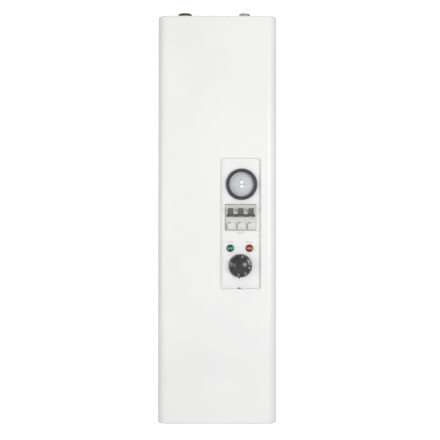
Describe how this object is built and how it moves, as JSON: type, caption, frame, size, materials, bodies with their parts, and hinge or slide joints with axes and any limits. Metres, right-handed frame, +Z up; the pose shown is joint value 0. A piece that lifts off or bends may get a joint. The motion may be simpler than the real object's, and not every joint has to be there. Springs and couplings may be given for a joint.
{
  "type": "electric heating boiler",
  "caption": "Slim wall-hung electric heating boiler in a white steel case, with a control window holding a gauge, breakers, lamps and a thermostat knob.",
  "frame": {"origin": "on the wall face, midway between the two points that the keyholes hang from", "axes": "+X right, +Y into the wall, +Z up; the front faces -Y"},
  "size_m": [0.21, 0.184, 0.7447],
  "materials": {
    "white_enamel": "white powder coat, slight sheen",
    "inner_sheet": "light grey powder coat",
    "zinc_steel": "bright zinc plate",
    "panel_film": "satin printed film",
    "breaker_case": "moulded pale grey plastic",
    "lever_plastic": "moulded dark grey plastic",
    "bezel": "satin dark grey plastic",
    "gauge_glass": "clear",
    "dial": "silver printed dial",
    "needle": "white lacquer",
    "brass": "turned brass",
    "copper": "drawn copper",
    "green_lens": "clear green lens",
    "red_lens": "clear red lens",
    "dark_plastic": "black moulded plastic",
    "knob": "satin dark grey plastic",
    "pipe_steel": "grey steel",
    "foam": "foil-faced insulation felt",
    "rubber": "black rubber",
    "fibre": "gasket rubber",
    "switchgear": "moulded pale plastic",
    "lead_jacket": "insulated copper lead"
  },
  "bodies": {
    "root": {"back_plate": "inner_sheet", "front_cover": "white_enamel", "cover_screws": "zinc_steel", "control_plate": "inner_sheet", "control_plate_screws": "zinc_steel", "panel_film": "panel_film", "din_rail": "zinc_steel", "rail_screws": "zinc_steel", "breaker_pole_1": "breaker_case", "breaker_pole_2": "breaker_case", "breaker_pole_3": "breaker_case", "gauge_case": "zinc_steel", "gauge_bezel": "bezel", "gauge_glass": "gauge_glass", "gauge_dial": "dial", "gauge_movement": "brass", "gauge_clamp": "zinc_steel", "gauge_bulb": "copper", "temperature_capillary": "copper", "pressure_capillary": "copper", "pressure_fitting": "brass", "green_lamp_lens": "green_lens", "red_lamp_lens": "red_lens", "green_lamp_body": "dark_plastic", "red_lamp_body": "dark_plastic", "thermostat_body": "switchgear", "thermostat_screws": "zinc_steel", "thermostat_capillary": "copper", "thermostat_bulb": "copper", "tank_shell": "pipe_steel", "tank_insulation": "foam", "tank_brackets": "zinc_steel", "bracket_screws": "zinc_steel", "supply_nipple": "brass", "return_pipe": "pipe_steel", "safety_pipe": "pipe_steel", "pipe_grommets": "rubber", "sensor_pockets": "brass", "overheat_limiter": "dark_plastic", "element_head": "brass", "element_gasket": "fibre", "heating_elements": "pipe_steel", "element_terminals": "zinc_steel", "contactor": "switchgear", "terminal_block": "switchgear", "terminal_screws": "zinc_steel", "cable_gland": "dark_plastic", "gland_cap": "dark_plastic", "gland_nut": "dark_plastic", "breaker_leads": "lead_jacket", "element_leads": "lead_jacket"},
    "breaker_levers": {"breaker_lever_1": "lever_plastic", "breaker_lever_2": "lever_plastic", "breaker_lever_3": "lever_plastic", "lever_rod": "zinc_steel"},
    "thermostat_control": {"thermostat_knob": "knob", "thermostat_spindle": "zinc_steel"},
    "pressure_pointer": {"pressure_needle": "needle"},
    "temperature_pointer": {"temperature_needle": "needle"},
    "contactor_armature": {"contactor_plunger": "dark_plastic"}
  },
  "joints": [
    {"name": "breaker_switch", "type": "hinge", "parent": "root", "child": "breaker_levers", "pos_m": [0.0405, -0.1641, -0.2831], "axis": [1, 0, 0], "range_deg": [0, 86]},
    {"name": "thermostat_turn", "type": "hinge", "parent": "root", "child": "thermostat_control", "pos_m": [0.04, -0.184, -0.3695], "axis": [0, 1, 0], "range_deg": [-9, 261]},
    {"name": "pressure_reading", "type": "hinge", "parent": "root", "child": "pressure_pointer", "pos_m": [0.042, -0.165, -0.22575], "axis": [0, 1, 0], "range_deg": [0, 114], "stiffness_Nm_per_rad": 0.002, "springref_deg": -17.19},
    {"name": "temperature_reading", "type": "hinge", "parent": "root", "child": "temperature_pointer", "pos_m": [0.042, -0.165, -0.23325], "axis": [0, 1, 0], "range_deg": [0, 168], "stiffness_Nm_per_rad": 0.002, "springref_deg": -17.19},
    {"name": "contactor_pull_in", "type": "slide", "parent": "root", "child": "contactor_armature", "axis": [0, 1, 0], "range_m": [0, 0.003], "stiffness_N_per_m": 400, "springref_m": -0.001}
  ]
}
